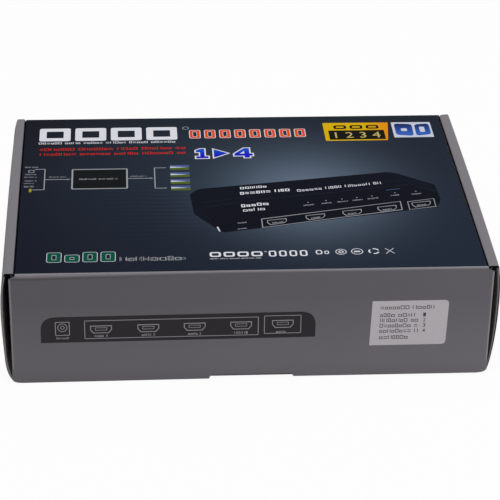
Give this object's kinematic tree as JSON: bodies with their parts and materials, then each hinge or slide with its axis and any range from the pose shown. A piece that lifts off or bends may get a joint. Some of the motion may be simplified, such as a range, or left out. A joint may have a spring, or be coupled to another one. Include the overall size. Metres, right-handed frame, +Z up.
{
  "type": "hdmi splitter",
  "caption": "Closed retail carton with a front-locking lid and rolled side walls, holding a video signal splitter with its sockets, circuit board and folded card insert.",
  "frame": {"origin": "centre of the carton's box on the table it rests on", "axes": "+X to the right along the front, +Y from the front panel to the back wall, +Z up"},
  "size_m": [0.2544, 0.1782, 0.064],
  "materials": {
    "dark_printed_board": "offset print, dark blue-black, matt varnish",
    "grey_printed_board": "offset print, mid grey, satin varnish",
    "white_lined_board": "unprinted inner liner",
    "label_paper": "matt adhesive label",
    "leaflet_paper": "uncoated paper",
    "insert_board": "unbleached kraft liner",
    "black_case_steel": "fine textured black powder coat",
    "black_screws": "black oxide",
    "bright_screws": "zinc plated",
    "standoff_brass": "turned brass",
    "foot_rubber": "soft black rubber",
    "circuit_board": "green solder mask",
    "socket_steel": "nickel plated",
    "socket_plastic": "black moulded plastic",
    "chip_plastic": "moulded chip body",
    "thermal_pad": "soft filled silicone",
    "heat_sink_aluminium": "dark anodised",
    "capacitor_sleeve": "shrink sleeve",
    "ceramic": "fired ceramic",
    "lamp_lens": "clear moulded lens",
    "pipe_acrylic": "clear acrylic"
  },
  "bodies": {
    "tray": {"back_wall": "grey_printed_board", "base_panel": "white_lined_board", "bay_flaps": "insert_board", "bottom_tray": "black_case_steel", "bulk_capacitors": "capacitor_sleeve", "ceramic_capacitors": "ceramic", "cover_screws": "black_screws", "crystal": "socket_steel", "dc_jack": "socket_plastic", "device_cell_flaps": "insert_board", "device_riser": "insert_board", "front_wall": "white_lined_board", "hdmi_input": "socket_steel", "hdmi_output_1": "socket_steel", "hdmi_output_2": "socket_steel", "hdmi_output_3": "socket_steel", "hdmi_output_4": "socket_steel", "heat_sink": "heat_sink_aluminium", "insert_back_leg": "insert_board", "insert_deck": "insert_board", "insert_front_leg": "insert_board", "insert_left_leg": "insert_board", "insert_right_leg": "insert_board", "left_back_dust_flap": "white_lined_board", "left_front_dust_flap": "white_lined_board", "left_inner_wall": "white_lined_board", "left_outer_wall": "grey_printed_board", "left_top_strip": "grey_printed_board", "light_pipes": "pipe_acrylic", "main_pcb": "circuit_board", "output_drivers": "chip_plastic", "pcb_screws": "bright_screws", "pcb_standoffs": "standoff_brass", "power_inductor": "chip_plastic", "right_back_dust_flap": "white_lined_board", "right_front_dust_flap": "white_lined_board", "right_inner_wall": "white_lined_board", "right_outer_wall": "grey_printed_board", "right_top_strip": "grey_printed_board", "rubber_feet": "foot_rubber", "socket_blades": "socket_plastic", "splitter_chip": "chip_plastic", "status_lamps": "lamp_lens", "thermal_pad": "thermal_pad", "top_cover": "black_case_steel", "user_leaflet": "leaflet_paper", "voltage_regulator": "chip_plastic"},
    "lid": {"lid_panel": "dark_printed_board"},
    "lid_front": {"lid_front_panel": "grey_printed_board", "left_ear": "grey_printed_board", "right_ear": "grey_printed_board", "port_label": "label_paper"},
    "lock_tongue": {"lock_tongue": "grey_printed_board"}
  },
  "joints": [
    {"name": "lid_hinge", "type": "hinge", "parent": "tray", "child": "lid", "pos_m": [0, 0.08855, 0.0635], "axis": [-1, 0, 0], "range_deg": [0, 180]},
    {"name": "lid_front_fold", "type": "hinge", "parent": "lid", "child": "lid_front", "pos_m": [0, -0.08845, 0.0635], "axis": [-1, 0, 0], "range_deg": [0, 90]},
    {"name": "tongue_fold", "type": "hinge", "parent": "lid_front", "child": "lock_tongue", "pos_m": [0, -0.08787, 0.0024], "axis": [-1, 0, 0], "range_deg": [0, 180]}
  ],
  "couplings": [
    {"joint": "tongue_fold", "follows": "lid_front_fold", "ratio": 2}
  ]
}
